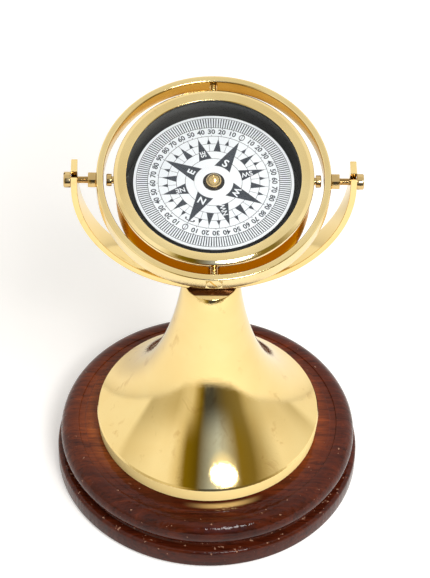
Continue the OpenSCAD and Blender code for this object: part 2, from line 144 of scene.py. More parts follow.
def grained(tree, stretch, detail=4.0, roughness=0.5, distortion=0.0):
    """Noise on the piece's own place, with its frequency along each axis."""
    spot = wired(tree, "Mapping", Vector=own_place(tree), Scale=stretch)
    return wired(tree, "TexNoise", Vector=spot.outputs[0], Scale=1.0, Detail=detail,
                 Roughness=roughness, Distortion=distortion).outputs["Fac"]


def spread(tree, factor, low, high, to_low=0.0, to_high=1.0):
    """Spreads the values between low and high over a new range."""
    made = wired(tree, "MapRange", {"interpolation_type": "SMOOTHSTEP"}, Value=factor, From_Min=low,
                 From_Max=high, To_Min=to_low, To_Max=to_high)
    return made.outputs["Result"]


def between(tree, factor, low, full_from, full_to, high):
    """1 between the two middle values, falling softly to 0 at the outer ones."""
    return maths(tree, "MULTIPLY", spread(tree, factor, low, full_from),
                 spread(tree, factor, full_to, high, 1.0, 0.0))


def coloured(tree, factor, stops):
    """Colour by a factor, as stops of (place, colour)."""
    made = wired(tree, "ValToRGB", Fac=factor)
    elements = made.color_ramp.elements
    while len(elements) < len(stops):
        elements.new(0.5)
    for element, (place, colour) in zip(elements, stops):
        element.position = place
        element.color = (*colour, 1)
    return made.outputs["Color"]


def mixed(tree, factor, one, other, blend="MIX"):
    """One colour laid over another."""
    return wired(tree, "Mix", {"data_type": "RGBA", "blend_type": blend}, Factor=factor,
                 i6=one, i7=other).outputs[2]


def effect(name, inputs, outputs):
    """A shared surface effect: a node group with named inputs and outputs."""
    group = bpy.data.node_groups.new(name, "ShaderNodeTree")
    for label, value in inputs:
        socket = group.interface.new_socket(label, in_out="INPUT", socket_type="NodeSocketFloat")
        socket.default_value = value
    for label in outputs:
        group.interface.new_socket(label, in_out="OUTPUT", socket_type="NodeSocketFloat")
    return group, group.nodes.new("NodeGroupInput").outputs, group.nodes.new("NodeGroupOutput").inputs


def laid_on(tree, group, **inputs):
    """Puts a shared effect in a material, with the material's own values for its inputs."""
    made = tree.nodes.new("ShaderNodeGroup")
    made.node_tree = group
    for label, value in inputs.items():
        made.inputs[label.replace("_", " ")].default_value = value
    return made.outputs


# the marks of handling: cloudy patches that change the roughness, sparse stains and hair lines
handling, given, put_out = effect("handling", [("Low", 0.1), ("High", 0.3), ("Patch Size", 60.0),
                                               ("Stain From", 0.64)], ["Roughness", "Stain", "Hair Lines"])
cloud = wired(handling, "TexNoise", Vector=own_place(handling), Scale=given["Patch Size"], Detail=5.0)
patches = wired(handling, "MapRange", Value=cloud.outputs["Fac"], From_Min=0.35, From_Max=0.75,
                To_Min=given["Low"], To_Max=given["High"])
blotch = wired(handling, "MapRange", Value=grained(handling, (95, 95, 60), 6.0, 0.6, 0.6),
               From_Min=given["Stain From"], From_Max=0.8, To_Min=0.0, To_Max=1.0)
handling.links.new(patches.outputs["Result"], put_out["Roughness"])
handling.links.new(blotch.outputs["Result"], put_out["Stain"])
handling.links.new(grained(handling, (700, 700, 5000), 2.0), put_out["Hair Lines"])

rosewood, tree, shader = finish("rosewood", Roughness=0.5, Specular_IOR_Level=0.03, Coat_Weight=0.8,
                                Coat_Roughness=0.07, Coat_IOR=1.33)
across, beside, up_from_desk = split(tree, own_place(tree))
out_to = vectors(tree, "LENGTH", vectors(tree, "MULTIPLY", own_place(tree), (1, 1, 0)))
figure = grained(tree, (26, 150, 90), 8.0, 0.7, 1.2)
streaks = grained(tree, (70, 760, 520), 5.0, 0.62, 0.8)
tint = coloured(tree, figure, [(0.30, (0.042, 0.007, 0.003)), (0.46, (0.070, 0.012, 0.004)),
                               (0.58, (0.098, 0.017, 0.005)), (0.72, (0.14, 0.028, 0.008))])
pores = coloured(tree, streaks, [(0.34, (0.50, 0.46, 0.46)), (0.47, (0.92, 0.92, 0.92)),
                                 (0.66, (1.18, 1.15, 1.1))])
wood = mixed(tree, 1.0, tint, pores, "MULTIPLY")
# painted glow: beside and behind the brass the seat is painted lighter and warmer, as light thrown back from
# the brass, most on the left
BRASS_AT, GLOW_ENDS_AT = 0.0555, 0.070
glow_from_brass = coloured(tree, spread(tree, out_to, BRASS_AT, GLOW_ENDS_AT), [
    (0.0, (2.6, 3.6, 2.6)), (0.4, (1.6, 1.8, 1.2)), (1.0, (1, 1, 1))])
glow_from_brass = mixed(tree, 1.0, glow_from_brass, coloured(tree, spread(tree, across, -0.06, 0.06), [
    (0.0, (1.15, 1.2, 0.9)), (0.5, (1, 1, 1)), (1.0, (0.72, 0.6, 0.5))]), "MULTIPLY")
wood = mixed(tree, spread(tree, beside, -0.052, -0.022), wood, mixed(tree, 1.0, wood, glow_from_brass, "MULTIPLY"))
# painted shade and light: the wood is painted darker in front and lighter behind, as the light falls on it
depth = coloured(tree, spread(tree, beside, -0.070, 0.020), [
    (0.0, (0.74, 0.66, 0.66)), (1.0, (1.35, 1.35, 1.35))])
wood = mixed(tree, 1.0, wood, depth, "MULTIPLY")
# painted reflection: a short arc right in front of the brass is painted pale amber, the foot band's mirrored
# highlight in the varnish
band_reflection_painted = maths(tree, "MULTIPLY", between(tree, out_to, 0.0562, 0.0580, 0.0590, 0.0606),
               between(tree, across, -0.014, 0.006, 0.012, 0.028))
band_reflection_painted = maths(tree, "MULTIPLY", band_reflection_painted, spread(tree, beside, -0.050, -0.040, 0.8, 0.0))
wood = mixed(tree, band_reflection_painted, wood, (0.60, 0.40, 0.15, 1))
# chips in the varnish, most of them on the edge of the foot ledge
ledge_edge = between(tree, up_from_desk, 0.0085, 0.0102, 0.0120, 0.0140)
knocked = maths(tree, "MULTIPLY_ADD", ledge_edge, 0.05, grained(tree, (420, 420, 420), 4.0, 0.55))
wood = mixed(tree, spread(tree, knocked, 0.69, 0.73), wood, (0.36, 0.19, 0.12, 1))
rippled = wired(tree, "Bump", Strength=0.3, Distance=0.00015, Height=streaks)
# the varnish is smoother on the seat than further out
brushed = wired(tree, "Bump", Strength=spread(tree, out_to, 0.060, 0.063, 0.15, 0.4), Distance=0.0009,
                Height=grained(tree, (300, 300, 40), 3.0))
fed(shader, Base_Color=wood, Normal=rippled.outputs[0], Coat_Normal=brushed.outputs[0])

BASE_R, BASE_H, LEDGE_H = 76.2, 26.3, 11.2
BEAD_R, BEAD_X, BEAD_Z = 7.2, 67.3, 19.6
bead = [(BEAD_X + BEAD_R * math.cos(math.radians(a)), BEAD_Z + BEAD_R * math.sin(math.radians(a)), 0)
        for a in range(-60, 105, 4)]
base_line = [(0, 1.3, 0), (68.9, 1.3, 0), (69.1, 0.8, 0), (BASE_R, 0.8, 1.2), (BASE_R, LEDGE_H, 2.0),
             (71.2, LEDGE_H, 0), (70.6, 12.3, 0.3)] + bead + [
             (65.3, 25.95, 0.25), (62.5, 25.9, 0.2), (62.0, BASE_H, 0.3), (0, BASE_H, 0)]
assemble(turned(base_line, steps=256), "turned_base", "stand", rosewood, ["wood_base"])

# Felt pad. A disc of short dark green felt, glued into the recess under the base so
# that the wood doesn't scratch the desk. Only its edge can be seen from the side.
felt, tree, shader = finish("felt", Roughness=1.0, Sheen_Weight=0.4)
pile = grained(tree, (2600, 2600, 2600), 4.0)
fed(shader, Base_Color=coloured(tree, pile, [(0.3, (0.012, 0.03, 0.014)), (0.7, (0.03, 0.07, 0.035))]),
    Normal=wired(tree, "Bump", Strength=0.6, Distance=0.0003, Height=pile).outputs[0])


def dress(name, material):
    """Gives a finish to a piece whose modelled shape is already right."""
    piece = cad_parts[name]
    piece.data.materials.clear()
    piece.data.materials.append(material)


dress("felt_pad", felt)

# Pedestal. One sheet of brass, spun on a former into a trumpet with a short foot band
# and a flat top, then buffed to a mirror and lacquered. The spinning leaves shallow
# waves, the buffing hair lines, and handling has left a few brown stains.
STAIN = (0.66, 0.42, 0.15, 1)


def brass(name, light, deep, low, high, stain_from, scratches, waves, **sockets):
    """A brass finish: two tints in soft clouds, the range of its roughness, where its stains
    start, and the strength of its scratches and waves."""
    material, tree, shader = finish(name, **{"Metallic": 1.0, **sockets})
    marks = laid_on(tree, handling, Low=low, High=high, Stain_From=stain_from)
    tone = coloured(tree, grained(tree, (38, 38, 52), 4.0), [(0.3, deep), (0.7, light)])
    wave = wired(tree, "Bump", Strength=0.5, Distance=waves, Height=grained(tree, (150, 150, 190), 2.0))
    hair = wired(tree, "Bump", Strength=scratches, Distance=0.0001, Height=marks["Hair Lines"],
                 Normal=wave.outputs[0])
    tone = mixed(tree, marks["Stain"], tone, STAIN)
    fed(shader, Base_Color=tone, Roughness=marks["Roughness"], Normal=hair.outputs[0])
    return material, shader, tone


polished_brass, *_ = brass("polished_brass", (0.95, 0.735, 0.335), (0.92, 0.68, 0.285), 0.035, 0.09,
                           0.61, 0.1, 0.00003)
# the foot band is satin under its lacquer; the varnish round it mirrors it as polished brass
BAND_SLOPE = 0.8
band_brass, tree, shader = finish("band_brass")
marks = laid_on(tree, handling, Low=0.36, High=0.46, Stain_From=0.7)
in_varnish = wired(tree, "LightPath").outputs["Is Glossy Ray"]
tilt = wired(tree, "CombineXYZ", i2=maths(tree, "MULTIPLY_ADD", in_varnish, -BAND_SLOPE, BAND_SLOPE))
sloped = vectors(tree, "ADD", wired(tree, "NewGeometry").outputs["Normal"], tilt.outputs[0])
fed(shader, Base_Color=coloured(tree, marks["Stain"], [(0.0, (1.0, 0.75, 0.31)), (1.0, (0.66, 0.42, 0.12))]),
    Metallic=maths(tree, "MULTIPLY_ADD", in_varnish, 0.9, 0.1),
    Roughness=wired(tree, "Mix", {"data_type": "FLOAT"}, i0=in_varnish, i2=marks["Roughness"],
                    i3=0.05).outputs[0],
    Normal=vectors(tree, "NORMALIZE", sloped))

SEAT_Z, BAND_TOP, TOP_Z, SHEET = BASE_H, 34.5, 125.9, 1.4
CREASE, NECK = Vector((55.4, 35.6)), Vector((14.7, 120.4))
BOLT_HOLE_R = 3.2
pull = Vector((-math.cos(math.radians(38)), math.sin(math.radians(38)))) * 33
lean = Vector((math.sin(math.radians(8)), -math.cos(math.radians(8)))) * 38
flare = interpolate_bezier(CREASE, CREASE + pull, NECK + lean, NECK, 90)
outside = [(55.2, SEAT_Z, 0.3), (56.0, BAND_TOP, 0)] + [(p.x, p.y, 0) for p in flare] + [(13.1, TOP_Z, 0.4)]
inside = [(BOLT_HOLE_R, TOP_Z, 0), (BOLT_HOLE_R, TOP_Z - SHEET, 0), (11.7, TOP_Z - SHEET, 0.4)] + [
    (p.x - SHEET, p.y - 0.6, 0) for p in reversed(flare[::3])] + [(54.6, 33.9, 0.6), (53.8, SEAT_Z, 0)]
pedestal = assemble(turned(outside + inside, steps=256), "spun_pedestal", "stand", polished_brass,
                    ["pedestal"], corner=20)


def second_finish(piece, material, chosen):
    """Gives another finish to the faces that are chosen by their middle and their direction."""
    piece.data.materials.append(material)
    for face in piece.data.polygons:
        if chosen(face.center, face.normal):
            face.material_index = len(piece.data.materials) - 1


second_finish(pedestal, band_brass,
              lambda at, way: at.z < BAND_TOP * MM and way.xy.dot(at.xy) > 0.9 * at.xy.length)

# the flat top is given a paler, less metallic brass as a painted highlight, and is painted dark along the strap
# as the strap's shadow
neck_top_light_and_shade, shader, unshaded_tone = brass("neck_top_light_and_shade", (1.0, 0.90, 0.58), (1.0, 0.86, 0.50), 0.2, 0.3,
                                  0.7, 0.1, 0.00003, Metallic=0.5)
tree = shader.id_data
off_strap = maths(tree, "ABSOLUTE", split(tree, own_place(tree))["Y"])
# painted shadow of the strap across the flat top
fed(shader, Base_Color=mixed(tree, spread(tree, off_strap, 0.0098, 0.0106), (0.07, 0.018, 0.004, 1), unshaded_tone))
second_finish(pedestal, neck_top_light_and_shade, lambda at, way: at.z > (TOP_Z - 0.3) * MM and way.z > 0.9)

# Tie bolt and what it holds. A long brass bolt holds yoke, collar, pedestal and base
# together. Its nut and washer sit in the counterbore under the felt, and a thick
# plate is soldered inside the neck to take the pull.
steel, tree, shader = finish("bright_steel", Metallic=1.0)
marks = laid_on(tree, handling, Low=0.25, High=0.4)
fed(shader, Roughness=marks["Roughness"],
    Base_Color=coloured(tree, marks["Hair Lines"], [(0.3, (0.38, 0.38, 0.40)), (0.7, (0.47, 0.47, 0.48))]))
for name in ("neck_plate", "tie_bolt"):
    dress(name, polished_brass)
for name in ("base_washer", "base_nut"):
    dress(name, steel)
COLLAR_R, COLLAR_TOP, TIE_R = 5.9, 126.4, 3.15
collar_line = [(TIE_R, TOP_Z, 0), (COLLAR_R, TOP_Z, 0), (COLLAR_R, COLLAR_TOP, 0.15), (TIE_R, COLLAR_TOP, 0)]
shaded_brass, *_ = brass("shaded_brass", (0.36, 0.15, 0.012), (0.24, 0.08, 0.006), 0.16, 0.28,
                         0.6, 0.1, 0.00003, Specular_Tint=(0.6, 0.3, 0.04))
assemble(turned(collar_line, steps=96), "neck_collar", "stand", shaded_brass, ["yoke_collar"])

# Yoke. A flat brass strap bent to a half circle. A slot is sawn slanting down into the
# head of each arm, so that the gimbal drops in from the front and its bolts rest in
# the half-round ends of the slots.
PIVOT_Z = 192.62205
YOKE_RO, YOKE_RI, YOKE_W, ARM_RISE, SLOT_R = 66.9, 63.9, 12.0, 7.5, 1.7


def cutter(bm, place):
    """A closed shape that is to be cut out of a piece."""
    bmesh.ops.transform(bm, matrix=place, verts=bm.verts)
    mesh = bpy.data.meshes.new("cutter")
    bm.to_mesh(mesh)
    bm.free()
    made = bpy.data.objects.new("cutter", mesh)
    scene.collection.objects.link(made)
    return made


def cut_out(piece, cutters):
    """Cuts the closed shapes out of a piece, as a saw, drill or mill does, and removes them."""
    for shape in cutters:
        modifier = piece.modifiers.new("cut", "BOOLEAN")
        modifier.operation = "DIFFERENCE"
        modifier.solver = "EXACT"
        modifier.object = shape
    bpy.context.view_layer.update()
    shaped = bpy.data.meshes.new_from_object(piece.evaluated_get(bpy.context.evaluated_depsgraph_get()))
    piece.modifiers.clear()
    old = piece.data
    shaped.name = old.name
    piece.data = shaped
    bpy.data.meshes.remove(old)
    for shape in cutters:
        bpy.data.objects.remove(shape)


def block(size_x, size_y, size_z, middle=(0, 0, 0)):
    """A plain block, in mm."""
    bm = bmesh.new()
    bmesh.ops.create_cube(bm, size=1.0)
    bmesh.ops.scale(bm, vec=(size_x * MM, size_y * MM, size_z * MM), verts=bm.verts)
    bmesh.ops.translate(bm, vec=Vector(middle) * MM, verts=bm.verts)
    return bm


def rod(radius, length, segments=48, middle=0):
    """A plain rod along Z, in mm, with its middle at the given height."""
    bm = bmesh.new()
    bmesh.ops.create_cone(bm, cap_ends=True, segments=segments, radius1=radius * MM,
                          radius2=radius * MM, depth=length * MM)
    bmesh.ops.translate(bm, vec=(0, 0, middle * MM), verts=bm.verts)
    return bm


def pull_out(bm, faces, by):
    """Extrudes faces and moves what is drawn out; returns the new end faces."""
    made = bmesh.ops.extrude_face_region(bm, geom=faces)["geom"]
    ends = [g for g in made if isinstance(g, bmesh.types.BMFace)]
    bmesh.ops.translate(bm, vec=by, verts=list({v for f in ends for v in f.verts}))
    return ends


pivot = Vector((0, 0, PIVOT_Z * MM))
arm_top = (PIVOT_Z + ARM_RISE) * MM
bm = bmesh.new()
bm.faces.new([bm.verts.new((x * MM, y * MM, arm_top)) for x, y in (
    (-YOKE_RO, -YOKE_W / 2), (-YOKE_RI, -YOKE_W / 2), (-YOKE_RI, YOKE_W / 2), (-YOKE_RO, YOKE_W / 2))])
bmesh.ops.bevel(bm, geom=list(bm.verts), offset=0.35 * MM, offset_type="OFFSET", segments=3, profile=0.5,
                affect="VERTICES", material=-1)
end = pull_out(bm, list(bm.faces), (0, 0, -ARM_RISE * MM))
drawn = end + list({e for f in end for e in f.edges}) + list({v for f in end for v in f.verts})
bent = bmesh.ops.spin(bm, geom=drawn, cent=pivot, axis=(0, -1, 0), angle=math.pi, steps=96)["geom_last"]
pull_out(bm, [g for g in bent if isinstance(g, bmesh.types.BMFace)], (0, 0, ARM_RISE * MM))
bmesh.ops.remove_doubles(bm, verts=bm.verts, dist=1e-7)
inner = [f for f in bm.faces if len(f.verts) > 4 and abs(f.calc_center_median().z - arm_top) > 1e-6]
bmesh.ops.delete(bm, geom=inner, context="FACES_ONLY")
bmesh.ops.recalc_face_normals(bm, faces=bm.faces)
yoke = assemble(bm, "strap_yoke", "stand", polished_brass, ["yoke"])
SLOT_SLANT, HEAD_SEAT_R = 30, 5.65
slot_turn = Matrix.Translation(pivot) @ Matrix.Rotation(math.radians(SLOT_SLANT), 4, "X")
untouched = Matrix.Identity(4)
# two slots and their seats, the flat under the strap, the bolt's hole and its head's seat
cut_out(yoke, [cutter(block(150, 2 * SLOT_R, 30, (0, 0, 15)), slot_turn),
               cutter(rod(SLOT_R, 150), slot_turn @ Matrix.Rotation(math.pi / 2, 4, "Y")),
               cutter(block(40, 20, 4, (0, 0, COLLAR_TOP - 2)), untouched),
               cutter(rod(TIE_R, 12, middle=128), untouched),
               cutter(rod(HEAD_SEAT_R, 4, middle=PIVOT_Z - YOKE_RI - 0.1 + 2), untouched)])

# Gimbal ring. Turned from brass tube, with rounded rims and a satin turned face. It is
# drilled at four points: left and right for the pivot bolts, on small flat spots, and
# front and rear for the countersunk bearing screws. Its inside is a darker brass.
satin_brass, *_ = brass("satin_brass", (0.97, 0.79, 0.41), (0.88, 0.67, 0.31), 0.13, 0.23, 0.68, 0.12, 0.00005)
darker_inside_brass, *_ = brass("darker_inside_brass", (0.78, 0.56, 0.20), (0.64, 0.42, 0.12), 0.13, 0.24, 0.6, 0.12, 0.00003)

RESTING_TILT = math.radians(17)
HUNG = Matrix.Translation(pivot) @ Matrix.Rotation(RESTING_TILT, 4, "X")
UNHUNG = HUNG.inverted()
RING_RO, RING_RI, RING_H = 55.2, 51.8, 8.8
ring_line = [(RING_RI, -RING_H / 2, 0.8), (RING_RO, -RING_H / 2, 0.8),
             (RING_RO, RING_H / 2, 0.8), (RING_RI, RING_H / 2, 0.8)]
ring = assemble(turned(ring_line, steps=256), "ring_band", "ring", satin_brass, ["gimbal_ring"], place=HUNG)
second_finish(ring, darker_inside_brass, lambda at, way: (UNHUNG @ at).xy.length < (RING_RI + 0.05) * MM)


def facing(side, axis):
    """Turns a piece made along +Z so that it points along the given side of X or Y of the ring."""
    if axis == "X":
        return HUNG @ Matrix.Rotation(side * math.pi / 2, 4, "Y")
    return HUNG @ Matrix.Rotation(-side * math.pi / 2, 4, "X")


NUT_X, SINK_X, SINK_DEPTH, HOLE_R = 55.04, 53.05, 1.95, 1.7
sink = [(0, 50, 0), (HOLE_R, 50, 0), (HOLE_R, SINK_X, 0), (3.65, SINK_X + SINK_DEPTH, 0),
        (3.65, 57, 0), (0, 57, 0)]
flat_spot = [(0, 50, 0), (HOLE_R, 50, 0), (HOLE_R, NUT_X, 0), (4.19, NUT_X, 0), (4.19, 57, 0), (0, 57, 0)]
cuts = []
for side in (-1, 1):
    cuts.append(cutter(turned(sink, 64), facing(side, "Y")))
    cuts.append(cutter(turned(flat_spot, 48), facing(side, "X")))
cut_out(ring, cuts)

# Pivot bolts and lock nuts. Two brass bolts with round slotted heads are screwed
# through the ring and locked with hexagon nuts. The bare thread between nut and head
# rests in the yoke's slots. Bolts and nuts are duller than the strap.
bolt_brass, *_ = brass("bolt_brass", (0.74, 0.54, 0.25), (0.58, 0.39, 0.16), 0.1, 0.2, 0.6, 0.1, 0.00003)


def threaded(radius, low, high, pitch=0.5, depth=0.14):
    """The outline of a thread along +Z, as grooves between low and high."""
    line = []
    for i in range(int((high - low) / pitch)):
        z = low + i * pitch
        line += [(radius, z, 0), (radius, z + pitch * 0.3, 0), (radius - depth, z + pitch * 0.65, 0)]
    return line + [(radius, high, 0)]


DRIVER_W = 0.9
BOLT_R, BOLT_HEAD_R, HEAD_IN, HEAD_OUT = 1.65, 3.75, 67.1, 70.5
NUT_FLATS, NUT_H = 7, 4
bolt_line = [(0, 51.9, 0)] + threaded(BOLT_R, 52.0, 66.9) + [
    (BOLT_R, HEAD_IN, 0), (BOLT_HEAD_R, HEAD_IN, 0.25), (BOLT_HEAD_R, HEAD_OUT, 0.7), (0, HEAD_OUT, 0)]
for side, word in ((-1, "left"), (1, "right")):
    bolt = assemble(turned(bolt_line, steps=64), "pivot_bolt_" + word, "ring", bolt_brass,
                    ["pivot_bolts"], place=facing(side, "X"))
    cut_out(bolt, [cutter(block(12, DRIVER_W, 2, (0, 0, HEAD_OUT + 0.2)),
                          facing(side, "X") @ Matrix.Rotation(math.radians(20), 4, "Z"))])
    nut = rod(NUT_FLATS / 2 / math.cos(math.pi / 6), NUT_H, segments=6, middle=NUT_X + NUT_H / 2)
    bmesh.ops.bevel(nut, geom=list(nut.edges), offset=0.3 * MM, offset_type="OFFSET", segments=2, profile=0.5,
                    affect="EDGES", material=-1)
    assemble(nut, "lock_nut_" + word, "ring", bolt_brass, ["lock_nuts"], place=facing(side, "X"))

# Bearing screws. Countersunk slotted brass screws sit flush in the front and rear of
# the ring. Their ends reach into bushes in the bowl and are what the bowl turns on.
# They have the ring's satin finish.
PIN_R, PIN_END, SCREW_R, SINK_HEAD_R = 1.5, 44.2, 1.65, 3.6
screw_line = [(0, PIN_END, 0), (PIN_R, PIN_END, 0)] + threaded(SCREW_R, 44.6, 52.6, 0.8, 0.3) + [
    (SCREW_R, SINK_X, 0), (SINK_HEAD_R, SINK_X + SINK_DEPTH, 0), (SINK_HEAD_R, RING_RO - 0.05, 0.05),
    (0, RING_RO, 0)]
for side, word in ((-1, "front"), (1, "rear")):
    screw = assemble(turned(screw_line, steps=64), "bearing_screw_" + word, "ring", satin_brass,
                     ["bearing_screws"], place=facing(side, "Y"))
    cut_out(screw, [cutter(block(12, DRIVER_W, 1.6, (0, 0, RING_RO)),
                           facing(side, "Y") @ Matrix.Rotation(math.radians(58 * side), 4, "Z"))])

# Bowl casing. A spun brass cup with a rounded bottom. In front, under the bezel, it is
# painted dark orange as shade. Its edge turns in to carry the glass, bushes in its front and
# rear take the bearing screws, and a small round-headed screw sits in each side.
CASE_R, CASE_BOTTOM = 46.0, -33.5
wall = interpolate_bezier(Vector((CASE_R, -14.07)), Vector((CASE_R, -26.8)), Vector((38.08, -33)),
                          Vector((24, CASE_BOTTOM)), 40)
case_line = [(CASE_R, 2.6, 0.2)] + [(p.x, p.y, 0) for p in wall] + [(0, CASE_BOTTOM, 0), (0, -32.3, 0)] + [
    (p.x - 1.1, p.y + 1.1 if p.y < -30 else p.y, 0) for p in reversed(wall)] + [
    (44.8, 1.6, 0), (42.1, 1.6, 0), (42.1, 2.6, 0)]
case_brass, shader, unshaded_tone = brass("case_brass", (0.93, 0.74, 0.38), (0.84, 0.62, 0.28), 0.15, 0.25,
                                  0.66, 0.12, 0.00004, Specular_Tint=(0.8, 0.52, 0.22))
tree = shader.id_data
upright = wired(tree, "VectorRotate", {"rotation_type": "X_AXIS"}, Vector=own_place(tree), Center=pivot,
                Angle=-RESTING_TILT)
_, fore, height = split(tree, upright.outputs[0])
# painted shade: the front of the casing under the bezel is painted dark orange
front_shade_painted = maths(tree, "MULTIPLY", spread(tree, height, (PIVOT_Z - 18) * MM, (PIVOT_Z - 10) * MM),
                  spread(tree, fore, -0.030, 0.004, 1.0, 0.0))
fed(shader, Base_Color=mixed(tree, front_shade_painted, unshaded_tone, (0.30, 0.095, 0.010, 1)))
case = assemble(turned(case_line, steps=256), "bowl_shell", "bowl", case_brass, ["bowl_case"], place=HUNG)
bush_hole = [(0, 42.5, 0), (2.55, 42.5, 0), (2.55, 48, 0), (0, 48, 0)]
cut_out(case, [cutter(turned(bush_hole, 48), facing(side, "Y")) for side in (-1, 1)])
# the bushes are near black: partly their own dark bronze, partly painted shade round the bearing screws
dark_bronze_and_shade, *_ = brass("dark_bronze_and_shade", (0.10, 0.04, 0.012), (0.06, 0.02, 0.006), 0.2, 0.3, 0.6, 0.1, 0.00003)
dress("bearing_bushes", dark_bronze_and_shade)
STUD_R, STUD_HEAD_R, STUD_IN, STUD_OUT = 1.75, 2.95, 47.9, 50.4
stud_line = [(0, 43.8, 0), (STUD_R, 43.8, 0.1), (STUD_R, STUD_IN, 0), (STUD_HEAD_R, STUD_IN, 0.2),
             (STUD_HEAD_R, STUD_OUT, 0.5), (0, STUD_OUT, 0)]
for side, word in ((-1, "left"), (1, "right")):
    stud = assemble(turned(stud_line, steps=64), "side_screw_" + word, "bowl", bolt_brass,
                    ["side_screws"], place=facing(side, "X"))
    cut_out(stud, [cutter(block(12, 0.8, 1.6, (0, 0, STUD_OUT)),
                          facing(side, "X") @ Matrix.Rotation(math.radians(60), 4, "Z"))])

# Bezel. A turned brass ring that is pressed over the casing and holds the glass down.
# Its crown is low and satin, and the bevel outside the crest is polished.
BEZEL_R, CREST_R = 47.1, 45.2
bezel_line = [(46.05, 2.2, 0), (BEZEL_R, 2.2, 0.2), (BEZEL_R, 4.3, 0.3), (CREST_R, 5.4, 0.45),
              (41.3, 4.95, 0.2), (41.1, 4.65, 0), (43.25, 4.65, 0), (43.25, 2.65, 0), (46.05, 2.65, 0)]
bezel = assemble(turned(bezel_line, steps=256), "bezel_ring", "bowl", satin_brass, ["bezel"], place=HUNG,
                 corner=20)
edge_brass, *_ = brass("edge_brass", (0.97, 0.79, 0.41), (0.88, 0.67, 0.31), 0.05, 0.09, 0.68, 0.12, 0.00005)
second_finish(bezel, edge_brass, lambda at, way: (UNHUNG @ at).xy.length > (CREST_R + 0.1) * MM)

# Glass and gasket. A flat glass disc on a thin rubber gasket. It lets the light through
# to the card without a shadow.
glass, tree, shader = finish("clear_glass", Base_Color=(0.97, 0.99, 0.98), Roughness=0.0, IOR=1.26,
                             Transmission_Weight=1.0)
path = wired(tree, "LightPath").outputs
lets_light_in = maths(tree, "MAXIMUM", path["Is Shadow Ray"], path["Is Diffuse Ray"])
pane = wired(tree, "MixShader", i0=lets_light_in, i1=shader.outputs[0],
             i2=wired(tree, "BsdfTransparent").outputs[0])
tree.links.new(pane.outputs[0], tree.nodes["Material Output"].inputs["Surface"])
GLASS_R, GLASS_FROM, GLASS_TO = 43.2, 3.2, 4.6
glass_line = [(0, GLASS_FROM, 0), (GLASS_R, GLASS_FROM, 0.15), (GLASS_R, GLASS_TO, 0.15), (0, GLASS_TO, 0)]
assemble(turned(glass_line, steps=160), "window_glass", "bowl", glass, ["cover_glass"], place=HUNG)
rubber, tree, shader = finish("black_rubber")
marks = laid_on(tree, handling, Low=0.6, High=0.8)
fed(shader, Roughness=marks["Roughness"],
    Base_Color=coloured(tree, marks["Hair Lines"], [(0.3, (0.010,) * 3), (0.7, (0.018,) * 3)]))
dress("glass_gasket", rubber)

# Inner cup. A cup of semi-gloss black lacquer lines the bowl, so that the card stands
# out. The lacquer is painted greyer on the left and near black on the right, as a painted reflection.
lacquer, tree, shader = finish("black_lacquer")
marks = laid_on(tree, handling, Low=0.4, High=0.55)
grey_left_sheen = coloured(tree, grained(tree, (60, 60, 60), 2.0), [(0.3, (0.046, 0.045, 0.041)),
                                                          (0.7, (0.058, 0.055, 0.049))])
# painted reflection: lighter lacquer on the left, near black on the right
to_the_right = spread(tree, split(tree, own_place(tree))["X"], -0.030, 0.034)
fed(shader, Roughness=marks["Roughness"], Base_Color=mixed(tree, to_the_right, grey_left_sheen, (0.008, 0.008, 0.008, 1)))
CUP_RO, CUP_RI, CUP_FLOOR = 42.0, 41.1, -15
cup_line = [(CUP_RO, 2.6, 0), (CUP_RI, 2.6, 0.1), (CUP_RI, CUP_FLOOR, 0.6), (2.6, CUP_FLOOR, 0),
            (2.6, -15.9, 0), (CUP_RO, -15.9, 0.4)]
assemble(turned(cup_line, steps=160), "lined_cup", "bowl", lacquer, ["liner_cup"], place=HUNG)

# Weight, post and needle. A cast weight keeps the bowl level. A brass post stands
# through it and carries a pointed steel needle for the card.
cast, tree, shader = finish("cast_weight", Metallic=1.0)
skin = grained(tree, (900, 900, 900), 5.0)
fed(shader, Base_Color=coloured(tree, skin, [(0.3, (0.09, 0.09, 0.095)), (0.7, (0.16, 0.16, 0.165))]),
    Roughness=laid_on(tree, handling, Low=0.5, High=0.75)["Roughness"],
    Normal=wired(tree, "Bump", Strength=0.4, Distance=0.0003, Height=skin).outputs[0])
dress("ballast_weight", cast)
dress("pivot_post", polished_brass)
dress("pivot_needle", steel)

# Card. A thin white disc, printed in dark slate: degree marks, numbers that count from
# north and south to 90 at east and west, and the traditional rose with four long
# points, four shorter ones and twenty-four small ones.
CARD_R, CARD_TOP, CARD_THICK, POST_HOLE_R, INK = 37.6, -1.2, 0.5, 1.65, 0.03
CARD_LAG, NORTH_AT = math.radians(-4.5), math.radians(242 - 90)
FLOATED = HUNG @ Matrix.Translation((0, 0, -0.2 * MM)) @ Matrix.Rotation(CARD_LAG, 4, "X")
PRINT = FLOATED @ Matrix.Rotation(NORTH_AT, 4, "Z") @ Matrix.Translation((0, 0, CARD_TOP * MM))

white_card, tree, shader = finish("white_card", Roughness=0.45)
fed(shader, Base_Color=coloured(tree, grained(tree, (45, 45, 45), 3.0), [
    (0.35, (0.80, 0.82, 0.86)), (0.65, (0.87, 0.885, 0.915))]))
card_line = [(POST_HOLE_R, CARD_TOP - CARD_THICK, 0), (CARD_R, CARD_TOP - CARD_THICK, 0.1),
             (CARD_R, CARD_TOP, 0.1), (POST_HOLE_R, CARD_TOP, 0)]
assemble(turned(card_line, steps=192), "card_disc", "card", white_card, ["compass_card"], place=FLOATED)

slate_ink, tree, shader = finish("slate_ink", Roughness=0.5)
fed(shader, Base_Color=coloured(tree, grained(tree, (300, 300, 300)), [
    (0.3, (0.020, 0.024, 0.034)), (0.7, (0.032, 0.037, 0.048))]))


